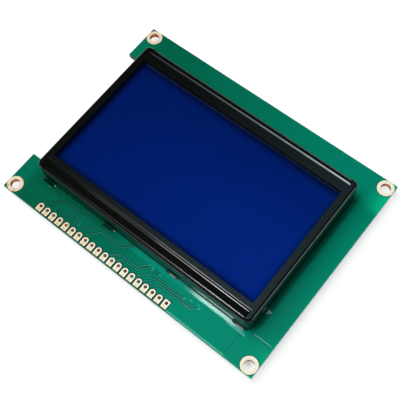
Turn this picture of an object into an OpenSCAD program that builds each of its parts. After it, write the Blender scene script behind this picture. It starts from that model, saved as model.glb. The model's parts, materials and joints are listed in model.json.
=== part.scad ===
// Graphic LCD module: a chip-on-board display with a folded steel bezel and an edge-lit backlight.
// The origin is the middle of the board, on the surface that the module lies on, with the window facing +Z.
// The header row runs along the -Y edge and the notch is in the -X edge.

/* [Board] */
// Length of the board along X
board_w = 93; // [88:0.5:110]
// Depth of the board along Y
board_d = 70; // [66:0.5:90]
// Thickness of the laminate
board_t = 1.6; // [0.8:0.1:2.4]
// Length of the notch in the left edge
notch_w = 44.6; // [20:0.2:48]
// Middle of the notch along Y
notch_y = 0.5; // [-3:0.1:3]
// Strip of board left between the notch and the bezel's wall
notch_gap = 2.6; // [1.5:0.1:4]
// Radius of the notch's inner corners
notch_r = 1; // [0.5:0.1:2]

/* [Mounting holes] */
// Diameter of a plated mounting hole
hole_d = 3; // [2.2:0.1:3.6]
// Distance from the board's edges to a hole's centre
hole_edge = 2.5; // [2.2:0.1:4]
// Diameter of the plated land round a mounting hole
land_d = 5.1; // [4.6:0.1:6]
// Bare laminate between a land and the board's edge
land_inset = 0.05; // [0.02:0.01:0.3]
// Thickness of the plating
plating_t = 0.05; // [0.03:0.01:0.1]

/* [Header] */
// Number of header holes
pin_count = 20; // [8:1:24]
// Distance between header holes
pin_pitch = 2.54; // [2:0.02:2.54]
// Middle of the header row along X
header_x = -8.6; // [-10:0.1:6]
// Distance from the board's edge to the header holes
header_edge = 2; // [1.8:0.1:3]
// Diameter of a plated header hole
pin_hole_d = 1; // [0.7:0.05:1.1]
// Width of a header land
pad_w = 1.9; // [1.5:0.05:1.95]
// Length of a header land from its hole towards the board's edge
pad_tail = 1.65; // [1:0.05:1.7]

/* [Bezel] */
// Outside length of the bezel along X
bezel_w = 78; // [70:0.5:82]
// Outside depth of the bezel along Y
bezel_d = 51; // [46:0.5:54]
// Height of the bezel above the board
bezel_h = 8.4; // [7:0.1:11]
// Middle of the bezel along X
bezel_x = -0.4; // [-1:0.1:1]
// Middle of the bezel along Y
bezel_y = 0.1; // [-0.5:0.1:0.5]
// Thickness of the steel sheet
sheet_t = 0.5; // [0.3:0.05:0.7]
// Outside radius of the bends along the top edges
bend_r = 1; // [0.8:0.1:1.2]
// Outside radius of the upright corners
corner_r = 1.7; // [1.2:0.1:1.8]
// Rim between the short walls and the window
side_rim = 2.7; // [2.4:0.1:4]
// Rim between the long walls and the window
long_rim = 5.2; // [4.8:0.1:7]
// Radius of the window's corners
window_r = 0.4; // [0.2:0.1:1]
// Drop of the pressed ledges below the rim
ledge_drop = 0.4; // [0.3:0.05:0.5]
// Width of the near ledge with its slope, from the near wall
near_ledge_w = 3.4; // [2.8:0.1:3.6]
// Width of the near ledge's slope
near_slope = 0.5; // [0.4:0.05:0.8]
// Width of the far ledge with its slope, from the far wall
far_ledge_w = 2.3; // [2:0.1:3.6]
// Width of the far ledge's slope
far_slope = 0.9; // [0.4:0.05:1]
// Distance from the short walls to the ends of the ledges
ledge_end = 1.8; // [1.7:0.1:4]
// Largest outside radius of the pressed bends along the ledges
press_r = 0.7; // [0.6:0.05:0.9]

/* [Bezel tabs] */
// Number of tabs on each long wall
tab_count = 4; // [2:1:4]
// Distance between tabs
tab_pitch = 23.7; // [12:0.1:24]
// Width of a tab
tab_w = 3.5; // [2:0.1:5]
// Length of a tab's fold along the back of the board
tab_fold = 2.2; // [1:0.1:3]
// Inside radius of a tab's fold
tab_r = 0.3; // [0.2:0.05:0.5]
// Opening of a slot in front of the wall
slot_front = 0.6; // [0.3:0.05:1]

/* [Display cell] */
// Thickness of each glass
glass_t = 1.1; // [0.7:0.1:1.3]
// Room between the front glass and the bezel's walls
glass_clear = 0.5; // [0.4:0.05:0.8]
// Gap between the glasses, thicker here than the real layer
cell_gap = 0.1; // [0.05:0.01:0.15]
// Width of the glued seal
seal_w = 0.7; // [0.5:0.1:2.5]
// Distance from the rear glass's edge to the seal
seal_inset = 0.3; // [0.2:0.1:1]
// Thickness of each polarizer
polarizer_t = 0.2; // [0.1:0.02:0.3]
// Reach of the front polarizer behind the bezel's rim
polarizer_lap = 1; // [0.5:0.1:1.2]

/* [Zebra strips] */
// Width of a zebra strip
zebra_w = 2; // [1.5:0.1:2.5]
// Distance from the frame's ends to a zebra strip's ends
zebra_end = 2; // [1.5:0.1:6]
// Room on each side of a zebra strip
zebra_clear = 0.1; // [0.05:0.05:0.2]
// Gap between the rear glass and a zebra strip
rear_glass_gap = 0.6; // [0.3:0.1:0.8]

/* [Backlight] */
// Room between the backlight frame and the bezel's walls
frame_clear = 0.3; // [0.2:0.05:0.5]
// Thickness of the frame's outer rails
rail_t = 0.7; // [0.5:0.1:1]
// Thickness of the walls between the light guide and the zebra strips
inner_wall_t = 1; // [0.9:0.1:1.5]
// Thickness of the frame's end walls
end_wall_t = 1; // [0.9:0.1:1.5]
// Thickness of the frame's floor
floor_t = 0.5; // [0.4:0.1:0.8]
// Distance from a rail's top to the front glass
rail_drop = 0.3; // [0.2:0.1:0.8]
// Room round the sheets in the frame
film_clear = 0.3; // [0.2:0.1:0.6]
// Thickness of the diffuser
diffuser_t = 0.3; // [0.2:0.05:0.5]
// Thickness of the reflector
reflector_t = 0.2; // [0.1:0.05:0.3]
// Room round the light guide
guide_clear = 0.2; // [0.1:0.05:0.4]

/* [Lamps] */
// Number of lamps
led_count = 6; // [2:1:8]
// Width of a lamp
led_w = 3; // [2:0.1:3.5]
// Height of a lamp
led_h = 1.4; // [0.8:0.1:1.8]
// Depth of a lamp
led_d = 1; // [0.6:0.1:1.4]
// Thickness of the lamp board
led_board_t = 0.8; // [0.7:0.1:1.2]
// Gap between the lamps and the light guide
led_gap = 0.1; // [0.05:0.05:0.3]
// Diameter of a lamp lead
lead_d = 0.6; // [0.4:0.05:0.65]
// Room round a lamp lead in its holes
lead_clear = 0.1; // [0.05:0.05:0.2]
// Distance from the lamp board's ends to its leads
lead_end = 5; // [2:0.1:8]
// Length of a lead behind the board
lead_tail = 0.9; // [0.5:0.1:1.2]
// Radius of a solder cone on the board
solder_r = 1; // [0.7:0.05:1.3]
// Height of a solder cone
solder_h = 0.6; // [0.3:0.05:0.8]

/* [Back of the board] */
// Diameter of an epoxy drop
glob_d = 15; // [11:0.5:17]
// Height of an epoxy drop, which the module lies on
glob_h = 2; // [1.9:0.1:3]
// Flat at an epoxy drop's crown, as a height taken off its dome
glob_flat = 0.12; // [0.05:0.01:0.2]
// Distance of the column drivers' drops from the middle along X
column_x = 23; // [20:0.5:26]
// Distance of the column drivers' drops from the middle along Y
column_y = 7; // [6:0.5:9]
// Distance of the row driver's drop from the middle along Y
row_y = 8; // [6:0.5:9]
// Gap between the parts on the back
part_gap = 2.4; // [1.5:0.1:3]
// Distance of the two moulded circuits from the middle along X
circuit_x = 22; // [20:0.5:24]
// Width of a moulded circuit's body
circuit_w = 3.9; // [3:0.1:4.2]
// Height of a moulded circuit's body
circuit_h = 1.4; // [1.2:0.05:1.5]
// Distance between a circuit's leads
circuit_pitch = 1.27; // [1:0.01:1.27]
// Width of a circuit's lead
circuit_lead_w = 0.42; // [0.3:0.02:0.5]
// Thickness of a circuit's lead
circuit_lead_t = 0.2; // [0.15:0.01:0.25]
// Reach of a circuit's lead
circuit_reach = 1.05; // [0.8:0.05:1.3]
// Length of a chip part
chip_l = 2; // [1.6:0.1:2.4]
// Width of a chip part
chip_w = 1.25; // [0.8:0.05:1.4]
// Height of a chip resistor
resistor_h = 0.5; // [0.35:0.05:0.6]
// Height of a chip capacitor
capacitor_h = 0.9; // [0.6:0.05:1.2]
// Number of chip resistors
resistor_count = 8; // [4:1:8]
// Number of chip capacitors
capacitor_count = 5; // [2:1:5]
// Distance between chip parts
chip_pitch = 4.2; // [3:0.1:4.6]
// Length of a charge capacitor
tank_l = 3.2; // [2.8:0.1:3.6]
// Width of a charge capacitor
tank_w = 1.6; // [1.3:0.1:2]
// Height of a charge capacitor
tank_h = 1.5; // [1.2:0.1:1.6]

/* [Hidden] */

$fn = 48;
// Overshoot of a cut past a face
cut = 1;
// Flats in each pressed bend along the ledges
press_steps = 5;

// Levels of the board, from the surface that the module lies on
board_back = glob_h;
board_top = board_back + board_t;

// Plan of the bezel, the glass and the backlight frame, about the bezel's own middle
window_w = bezel_w - 2 * side_rim;
window_d = bezel_d - 2 * long_rim;
cavity_w = bezel_w - 2 * sheet_t;
cavity_d = bezel_d - 2 * sheet_t;
front_glass_w = cavity_w - 2 * glass_clear;
front_glass_d = cavity_d - 2 * glass_clear;
frame_w = cavity_w - 2 * frame_clear;
frame_d = cavity_d - 2 * frame_clear;
frame_r = max(corner_r - sheet_t - frame_clear, 0.1);
zebra_y = frame_d / 2 - rail_t - zebra_clear - zebra_w / 2;
channel_w = zebra_w + 2 * zebra_clear;
zebra_l = frame_w - 2 * zebra_end;
rear_glass_d = 2 * (zebra_y - zebra_w / 2 - rear_glass_gap);
well_w = frame_w - 2 * end_wall_t;
well_d = 2 * (zebra_y - channel_w / 2 - inner_wall_t);
film_w = well_w - 2 * film_clear;
film_d = well_d - 2 * film_clear;

// Levels of the stack above the board, from the ledges that press on the front glass downwards
glass_top = bezel_h - ledge_drop - sheet_t;
front_glass_z = glass_top - glass_t;
cell_z = front_glass_z - cell_gap;
rear_glass_z = cell_z - glass_t;
rear_polarizer_z = rear_glass_z - polarizer_t;
diffuser_z = rear_polarizer_z - diffuser_t;
guide_z = floor_t + reflector_t;
guide_t = diffuser_z - guide_z;

// Lamp board at the frame's left end, the lamps on it and the light guide in front of them
led_board_x = -well_w / 2 + led_board_t / 2;
led_board_d = film_d;
led_x = led_board_x + led_board_t / 2 + led_d / 2;
led_pitch = led_board_d / led_count;
lead_y = led_board_d / 2 - lead_end;
guide_x0 = led_x + led_d / 2 + led_gap;
guide_x1 = well_w / 2 - guide_clear;

// Tabs and their slots
tab_xs = [for (i = [0 : tab_count - 1]) (i - (tab_count - 1) / 2) * tab_pitch];
slot_in = bezel_d / 2 - sheet_t - tab_r;
slot_out = bezel_d / 2 + slot_front;
slot_w = slot_out - slot_in;

// Header holes, the first at the right-hand end
pin_xs = [for (i = [0 : pin_count - 1]) header_x + ((pin_count - 1) / 2 - i) * pin_pitch];
pin_y = -board_d / 2 + header_edge;

// Dome of an epoxy drop, a shallow cap of a large sphere that needs more facets than the rest
dome_h = glob_h + glob_flat;
dome_r = (pow(glob_d / 2, 2) + pow(dome_h, 2)) / (2 * dome_h);
dome_fn = 160;

// Moulded circuits
amplifier_leads_a_side = 7;
converter_leads_a_side = 4;
circuit_end_trim = 0.2;
circuit_standoff = 0.1;
circuit_taper = 0.15;
circuit_bevel = 0.4;
circuit_foot = 0.55;
circuit_mid = circuit_standoff + circuit_h / 2;
chip_terminal_l = 0.4;
chip_body_inset = 0.04;
resistor_y = -row_y - glob_d / 2 - part_gap;
capacitor_y = column_y + glob_d / 2;
tank_x = circuit_x + circuit_length(converter_leads_a_side) / 2 + part_gap + tank_w / 2;
tank_y = tank_l / 2 + part_gap / 2;

function mounting_holes() = [for (sx = [-1, 1], sy = [-1, 1])
    [sx * (board_w / 2 - hole_edge), sy * (board_d / 2 - hole_edge)]];
function circuit_length(leads_a_side) = leads_a_side * circuit_pitch - circuit_end_trim;

// Moves its children to the bezel's middle, with zero height at the board's top
module on_board() {
    translate([bezel_x, bezel_y, board_top]) children();
}

// Hangs its children from the back of the board, with their own +Z pointing away from it
module behind_board() {
    translate([0, 0, board_back]) mirror([0, 0, 1]) children();
}

// A flat sheet about the bezel's middle
module sheet(w, d, t) {
    translate([-w / 2, -d / 2, 0]) cube([w, d, t]);
}

module rounded_rect(w, d, r) {
    square([w - 2 * r, d], center = true);
    square([w, d - 2 * r], center = true);
    for (sx = [-1, 1], sy = [-1, 1])
        translate([sx * (w / 2 - r), sy * (d / 2 - r)]) circle(r);
}

// Section of the bezel across one pair of walls: upright sides, a flat top and a bend at each upper corner
module bent_section(w, top, r, base) {
    translate([-w / 2, base]) square([w, top - r - base]);
    translate([-w / 2 + r, base]) square([w - 2 * r, top - base]);
    for (s = [-1, 1])
        translate([s * (w / 2 - r), top - r]) circle(r);
}

// Corner of the bezel between two walls, turned about its own upright
module bent_corner(corner, top, r, base) {
    rotate_extrude(angle = 90) intersection() {
        bent_section(2 * corner, top, r, base);
        translate([0, base]) square([corner, top - base]);
    }
}

// Points along a pressed bend about its middle, from one tilt of the sheet to another
function bend_points(middle, r, from, to) = [for (i = [0 : press_steps])
    let (a = from + (to - from) * i / press_steps) middle + r * [sin(a), cos(a)]];

// Room above one pressed ledge, with bends along its inner slope and plain slopes at its two ends
module ledge_room(inset, width, slope) {
    d = bezel_d - 2 * inset;
    w = bezel_w - 2 * inset;
    top = bezel_h - inset;
    low = top - ledge_drop;
    tilt = atan2(ledge_drop, slope);
    bend = min(press_r, norm([slope, ledge_drop]) / (2 * tan(tilt / 2)));
    upper_r = max(bend - inset, 0);
    lower_r = bend + inset;
    upper_y = bezel_d / 2 - width - (inset + upper_r) * tan(tilt / 2);
    lower_y = bezel_d / 2 - width + slope + (lower_r - inset) * tan(tilt / 2);
    end_shift = inset * tan(atan2(ledge_drop, near_slope) / 2);
    end_x = bezel_w / 2 - ledge_end + end_shift;
    end_reach = bend_r + ledge_drop;
    end_steep = near_slope / ledge_drop;
    intersection() {
        rotate([90, 0, 90]) linear_extrude(w, center = true) difference() {
            polygon(concat([[upper_y, top + cut]],
                bend_points([upper_y, top - upper_r], upper_r, 0, tilt),
                bend_points([lower_y, low + lower_r], -lower_r, tilt, 0),
                [[lower_y, low - bend_r], [d / 2 + cut, low - bend_r], [d / 2 + cut, top + cut]]));
            bent_section(d, low, bend_r - inset, -cut);
        }
        rotate([90, 0, 0]) linear_extrude(bezel_d + 2 * cut, center = true)
            polygon([[-end_x - cut * end_steep, top + cut], [end_x + cut * end_steep, top + cut],
                [end_x - end_reach * end_steep, top - end_reach],
                [-end_x + end_reach * end_steep, top - end_reach]]);
    }
}

// Solid form of the bezel, taken in by inset all round, standing on base
module bezel_form(inset, base) {
    w = bezel_w - 2 * inset;
    d = bezel_d - 2 * inset;
    top = bezel_h - inset;
    r = bend_r - inset;
    corner = corner_r - inset;
    difference() {
        union() {
            rotate([90, 0, 90]) linear_extrude(w - 2 * corner, center = true) bent_section(d, top, r, base);
            rotate([90, 0, 0]) linear_extrude(d - 2 * corner, center = true) bent_section(w, top, r, base);
            for (mx = [0, 1], my = [0, 1]) mirror([mx, 0, 0]) mirror([0, my, 0])
                translate([w / 2 - corner, d / 2 - corner, 0]) bent_corner(corner, top, r, base);
        }
        mirror([0, 1, 0]) ledge_room(inset, near_ledge_w, near_slope);
        ledge_room(inset, far_ledge_w, far_slope);
    }
}

// A tab of the +Y wall: down through the board, round a fold and inwards along its back
module tab() {
    wall_in = bezel_d / 2 - sheet_t;
    fold_y = wall_in - tab_r;
    fold_z = -board_t + tab_r;
    translate([-tab_w / 2, wall_in, fold_z]) cube([tab_w, sheet_t, sheet_t - fold_z]);
    translate([-tab_w / 2, fold_y, fold_z]) rotate([90, 0, 90]) rotate([0, 0, -90])
        rotate_extrude(angle = 90) translate([tab_r, 0]) square([sheet_t, tab_w]);
    translate([-tab_w / 2, fold_y - tab_fold, -board_t - sheet_t]) cube([tab_w, tab_fold, sheet_t]);
}

// Outline of a tab's slot in the board, at the +Y wall
module slot() {
    translate([0, (slot_in + slot_out) / 2]) {
        square([tab_w, slot_w], center = true);
        for (s = [-1, 1]) translate([s * tab_w / 2, 0]) circle(slot_w / 2);
    }
}

// Plated eyelet: a land on each face, whose outline is the child, joined by a lined hole
module eyelet(x, y, d) {
    difference() {
        union() {
            for (z = [board_back - plating_t, board_top])
                translate([0, 0, z]) linear_extrude(plating_t) children();
            translate([x, y, board_back - plating_t])
                cylinder(d = d + 2 * plating_t, h = board_t + 2 * plating_t);
        }
        translate([x, y, board_back - plating_t - cut])
            cylinder(d = d, h = board_t + 2 * plating_t + 2 * cut);
    }
}

module mounting_outline(p) {
    intersection() {
        translate(p) circle(d = land_d);
        square([board_w - 2 * land_inset, board_d - 2 * land_inset], center = true);
    }
}

module pad_outline(x, first) {
    translate([x - pad_w / 2, pin_y - pad_tail]) square([pad_w, pad_tail + (first ? pad_w / 2 : 0)]);
    if (!first) translate([x, pin_y]) circle(d = pad_w);
}

module pcb() color([0.01, 0.45, 0.34]) {
    translate([0, 0, board_back]) linear_extrude(board_t) difference() {
        square([board_w, board_d], center = true);
        for (p = mounting_holes()) translate(p) circle(d = hole_d + 2 * plating_t);
        for (x = pin_xs) translate([x, pin_y]) circle(d = pin_hole_d + 2 * plating_t);
        notch_in = bezel_x - bezel_w / 2 - notch_gap;
        notch_out = -board_w / 2 - notch_r - cut;
        translate([(notch_in + notch_out) / 2, notch_y])
            rounded_rect(notch_in - notch_out, notch_w, notch_r);
        translate([bezel_x, bezel_y]) {
            for (m = [0, 1], x = tab_xs) mirror([0, m]) translate([x, 0]) slot();
            for (s = [-1, 1]) translate([led_board_x, s * lead_y]) circle(d = lead_d + 2 * lead_clear);
        }
    }
}

module mounting_lands() color([0.93, 0.86, 0.68]) {
    for (p = mounting_holes()) eyelet(p[0], p[1], hole_d) mounting_outline(p);
}

module header_lands() color([0.95, 0.9, 0.76]) {
    for (i = [0 : pin_count - 1]) eyelet(pin_xs[i], pin_y, pin_hole_d) pad_outline(pin_xs[i], i == 0);
}

module bezel() color([0.05, 0.05, 0.05]) on_board() {
    difference() {
        bezel_form(0, 0);
        bezel_form(sheet_t, -cut);
        linear_extrude(bezel_h + cut) rounded_rect(window_w, window_d, window_r);
    }
    for (m = [0, 1], x = tab_xs) mirror([0, m, 0]) translate([x, 0, 0]) tab();
}

module front_polarizer() color([0, 0.08, 0.42]) on_board() {
    translate([0, 0, glass_top])
        sheet(window_w + 2 * polarizer_lap, window_d + 2 * polarizer_lap, polarizer_t);
}

module front_glass() color([0.75, 0.85, 0.85, 0.4]) on_board() {
    translate([0, 0, front_glass_z]) sheet(front_glass_w, front_glass_d, glass_t);
}

// The seal's outer and inner outlines follow the rear glass
module seal_outline(inset) {
    square([front_glass_w - 2 * inset, rear_glass_d - 2 * inset], center = true);
}

module cell_seal() color([0.6, 0.6, 0.55]) on_board() {
    translate([0, 0, cell_z]) linear_extrude(cell_gap) difference() {
        seal_outline(seal_inset);
        seal_outline(seal_inset + seal_w);
    }
}

module liquid_crystal() color([0.1, 0.2, 0.5, 0.5]) on_board() {
    translate([0, 0, cell_z]) linear_extrude(cell_gap) seal_outline(seal_inset + seal_w);
}

module rear_glass() color([0.75, 0.85, 0.85, 0.4]) on_board() {
    translate([0, 0, rear_glass_z]) sheet(front_glass_w, rear_glass_d, glass_t);
}

module rear_polarizer() color([0.35, 0.37, 0.45]) on_board() {
    translate([0, 0, rear_polarizer_z]) sheet(film_w, film_d, polarizer_t);
}

// Rubber connector that stands on the board and carries the front glass's contact edge
module zebra_strip() {
    translate([0, zebra_y, 0]) sheet(zebra_l, zebra_w, front_glass_z);
}

module near_zebra_strip() color([0.85, 0.65, 0.65]) on_board() mirror([0, 1, 0]) zebra_strip();

module far_zebra_strip() color([0.85, 0.65, 0.65]) on_board() zebra_strip();

module diffuser_sheet() color([0.95, 0.95, 0.95]) on_board() {
    translate([0, 0, diffuser_z]) sheet(film_w, film_d, diffuser_t);
}

module light_guide() color([0.85, 0.9, 0.95, 0.5]) on_board() {
    translate([(guide_x0 + guide_x1) / 2, 0, guide_z])
        sheet(guide_x1 - guide_x0, well_d - 2 * guide_clear, guide_t);
}

module reflector_sheet() color([0.97, 0.97, 0.97]) on_board() {
    translate([(guide_x0 + guide_x1) / 2, 0, floor_t])
        sheet(guide_x1 - guide_x0, well_d - 2 * guide_clear, reflector_t);
}

// Tray with a well for the light guide, a channel through it for each zebra strip and holes for the leads
module backlight_frame() color([0.92, 0.92, 0.9]) on_board() {
    difference() {
        intersection() {
            union() {
                sheet(frame_w, frame_d, rear_glass_z);
                for (s = [-1, 1]) translate([0, s * (frame_d / 2 - rail_t / 2), 0])
                    sheet(frame_w, rail_t, front_glass_z - rail_drop);
            }
            linear_extrude(front_glass_z) rounded_rect(frame_w, frame_d, frame_r);
        }
        translate([0, 0, floor_t]) sheet(well_w, well_d, bezel_h);
        for (s = [-1, 1]) {
            translate([0, s * zebra_y, -cut])
                sheet(zebra_l + 2 * zebra_clear, channel_w, bezel_h);
            translate([led_board_x, s * lead_y, -cut])
                cylinder(d = lead_d + 2 * lead_clear, h = floor_t + 2 * cut);
        }
    }
}

module led_board() color([0.85, 0.87, 0.82]) on_board() {
    translate([led_board_x, 0, floor_t]) sheet(led_board_t, led_board_d, reflector_t + guide_t);
}

module leds() color([1, 0.95, 0.7]) on_board() {
    for (i = [0 : led_count - 1])
        translate([led_x, (i - (led_count - 1) / 2) * led_pitch, guide_z + (guide_t - led_h) / 2])
            sheet(led_d, led_w, led_h);
}

module led_leads() color([0.8, 0.8, 0.8]) on_board() {
    for (s = [-1, 1])
        translate([led_board_x, s * lead_y, -board_t - lead_tail])
            cylinder(d = lead_d, h = board_t + lead_tail + floor_t);
}

module lead_solder() color([0.75, 0.76, 0.78]) behind_board() {
    for (s = [-1, 1])
        translate([bezel_x + led_board_x, bezel_y + s * lead_y, 0]) difference() {
            cylinder(r1 = solder_r, r2 = lead_d / 2 + lead_clear, h = solder_h);
            translate([0, 0, -cut]) cylinder(d = lead_d, h = solder_h + 2 * cut);
        }
}

// Epoxy drop: a low dome with a small flat at its crown
module glob(x, y) {
    behind_board() translate([x, y, 0]) intersection() {
        translate([0, 0, dome_h - dome_r]) sphere(dome_r, $fn = dome_fn);
        cylinder(d = glob_d + cut, h = glob_h);
    }
}

module row_driver_glob() color([0.06, 0.06, 0.06]) glob(0, -row_y);

module left_column_glob() color([0.06, 0.06, 0.06]) glob(-column_x, column_y);

module right_column_glob() color([0.06, 0.06, 0.06]) glob(column_x, column_y);

// Moulded body with tapered sides, an upright band where the leads come out and a bevel on lead one's side
module circuit_body(leads_a_side) {
    low = circuit_standoff;
    high = circuit_standoff + circuit_h;
    half = circuit_w / 2;
    band = circuit_lead_t / 2;
    bevel_y = circuit_taper + circuit_bevel - half;
    side = [[half - circuit_taper, low], [half, circuit_mid - band], [half, circuit_mid + band],
        [half - circuit_taper, high]];
    rotate([90, 0, 90]) linear_extrude(circuit_length(leads_a_side), center = true) difference() {
        polygon(concat(side, [for (i = [3 : -1 : 0]) [-side[i][0], side[i][1]]]));
        polygon([[-half, high], [bevel_y, high], [-half, high - circuit_bevel]]);
    }
}

// Gull-wing leads along both sides of a moulded body
module circuit_leads(leads_a_side) {
    t = circuit_lead_t;
    low = circuit_mid - t / 2;
    foot_y = circuit_reach - circuit_foot;
    shoulder = foot_y / 2;
    section = [[0, low], [shoulder, low], [foot_y, 0], [circuit_reach, 0], [circuit_reach, t],
        [foot_y + t / 2, t], [shoulder + t / 2, low + t], [0, low + t]];
    for (m = [0, 1], i = [0 : leads_a_side - 1])
        mirror([0, m, 0])
            translate([(i - (leads_a_side - 1) / 2) * circuit_pitch, circuit_w / 2, 0])
                rotate([90, 0, 90]) linear_extrude(circuit_lead_w, center = true) polygon(section);
}

module bias_amplifier() color([0.08, 0.08, 0.08]) behind_board() {
    translate([circuit_x, -row_y, 0]) circuit_body(amplifier_leads_a_side);
}

module amplifier_leads() color([0.75, 0.76, 0.78]) behind_board() {
    translate([circuit_x, -row_y, 0]) circuit_leads(amplifier_leads_a_side);
}

module voltage_converter() color([0.08, 0.08, 0.08]) behind_board() {
    translate([-circuit_x, -row_y, 0]) circuit_body(converter_leads_a_side);
}

module converter_leads() color([0.75, 0.76, 0.78]) behind_board() {
    translate([-circuit_x, -row_y, 0]) circuit_leads(converter_leads_a_side);
}

// Two-ended chip part lying along X, with a terminal at each end that stands a little proud of its body
module chip(l, w, h) {
    sheet(l - 2 * chip_body_inset, w - 2 * chip_body_inset, h - chip_body_inset);
    for (s = [-1, 1])
        translate([s * (l - chip_terminal_l) / 2, 0, 0]) sheet(chip_terminal_l, w, h);
}

module chip_row(count, y, h) {
    for (i = [0 : count - 1])
        translate([(i - (count - 1) / 2) * chip_pitch, y, 0]) chip(chip_l, chip_w, h);
}

module chip_resistors() color([0.12, 0.12, 0.13]) behind_board() {
    chip_row(resistor_count, resistor_y, resistor_h);
}

module chip_capacitors() color([0.62, 0.5, 0.36]) behind_board() {
    chip_row(capacitor_count, capacitor_y, capacitor_h);
}

module charge_capacitors() color([0.75, 0.55, 0.15]) behind_board() {
    for (s = [-1, 1])
        translate([-tank_x, -row_y + s * tank_y, 0]) rotate([0, 0, 90]) chip(tank_l, tank_w, tank_h);
}

pcb();
mounting_lands();
header_lands();
bezel();
front_polarizer();
front_glass();
cell_seal();
liquid_crystal();
rear_glass();
rear_polarizer();
near_zebra_strip();
far_zebra_strip();
diffuser_sheet();
light_guide();
reflector_sheet();
backlight_frame();
led_board();
leds();
led_leads();
lead_solder();
row_driver_glob();
left_column_glob();
right_column_glob();
bias_amplifier();
amplifier_leads();
voltage_converter();
converter_leads();
chip_resistors();
chip_capacitors();
charge_capacitors();
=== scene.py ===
"""Looks of a graphic display module, laid out as an add-on around the module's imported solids.

It finishes every solid, adds the copper, print and solder that the board carries, and sets a plain studio.
"""

import json
import math

import bmesh
import bpy
from bpy.props import FloatProperty, FloatVectorProperty, PointerProperty
from mathutils import Matrix, Vector


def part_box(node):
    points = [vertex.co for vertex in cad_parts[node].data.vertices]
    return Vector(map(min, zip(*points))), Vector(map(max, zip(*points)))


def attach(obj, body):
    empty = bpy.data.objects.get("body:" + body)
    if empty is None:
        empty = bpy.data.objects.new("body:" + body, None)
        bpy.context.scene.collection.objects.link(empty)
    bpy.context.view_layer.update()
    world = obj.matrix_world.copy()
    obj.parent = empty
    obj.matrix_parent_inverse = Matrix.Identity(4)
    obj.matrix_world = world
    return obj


bl_info = {
    "name": "Graphic display module",
    "version": (1, 0, 0),
    "blender": (4, 5, 0),
    "location": "3D View > Sidebar > Display module",
    "description": "Finishes the solids of a graphic display module and sets a plain studio",
    "category": "Object",
}

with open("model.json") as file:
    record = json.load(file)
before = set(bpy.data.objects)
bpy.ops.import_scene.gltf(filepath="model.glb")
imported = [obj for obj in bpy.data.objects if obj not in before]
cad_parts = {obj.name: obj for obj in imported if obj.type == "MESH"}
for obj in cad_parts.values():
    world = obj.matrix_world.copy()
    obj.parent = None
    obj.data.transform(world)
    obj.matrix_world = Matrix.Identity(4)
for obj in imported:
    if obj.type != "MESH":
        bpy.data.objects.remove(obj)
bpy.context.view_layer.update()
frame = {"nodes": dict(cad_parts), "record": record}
MM = 0.001


def box(node):
    """Lowest and highest corner of a node, in millimetres."""
    return [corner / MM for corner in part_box(node)]


def middle(node):
    """Middle of a node's box, in millimetres."""
    low, high = box(node)
    return (low + high) / 2


def span(node):
    """Sides of a node's box, in millimetres."""
    low, high = box(node)
    return high - low


# Places on the board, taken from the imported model
BOARD_LOW, BOARD_HIGH = box("pcb")
LANDS_LOW, LANDS_HIGH = box("header_lands")
MOUNTS = frame["record"]["mounts"]
PINS = [Vector(mount["pos_m"]) / MM for mount in MOUNTS if mount["name"].startswith("header_hole_")]
PIN_PITCH = PINS[0].x - PINS[1].x
LAND_W = 2 * (LANDS_HIGH.x - PINS[0].x)
LAND_TAIL = PINS[0].y - LANDS_LOW.y
CORNERS = next(mount["dims"] for mount in MOUNTS if mount["kind"] == "bolt_pattern")
LAND_R = span("mounting_lands").y / 2 - CORNERS["spacing_y_mm"] / 2
CORNER_HOLES = [(sx * CORNERS["spacing_x_mm"] / 2, sy * CORNERS["spacing_y_mm"] / 2)
                for sx in (-1, 1) for sy in (-1, 1)]


# Sizes and colours that a user would change

def colour(name, description, default):
    return FloatVectorProperty(name=name, description=description, default=default, subtype="COLOR",
                               size=3, min=0.0, max=1.0)


def length(name, description, default):
    return FloatProperty(name=name, description=description, default=default * MM, subtype="DISTANCE",
                         unit="LENGTH", min=0.0)


def share(name, description, default):
    return FloatProperty(name=name, description=description, default=default, subtype="FACTOR",
                         min=0.0, max=1.0)


def angle(name, description, default):
    return FloatProperty(name=name, description=description, default=math.radians(default), subtype="ANGLE")


def power(name, description, default):
    return FloatProperty(name=name, description=description, default=default, unit="POWER", min=0.0)


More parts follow.
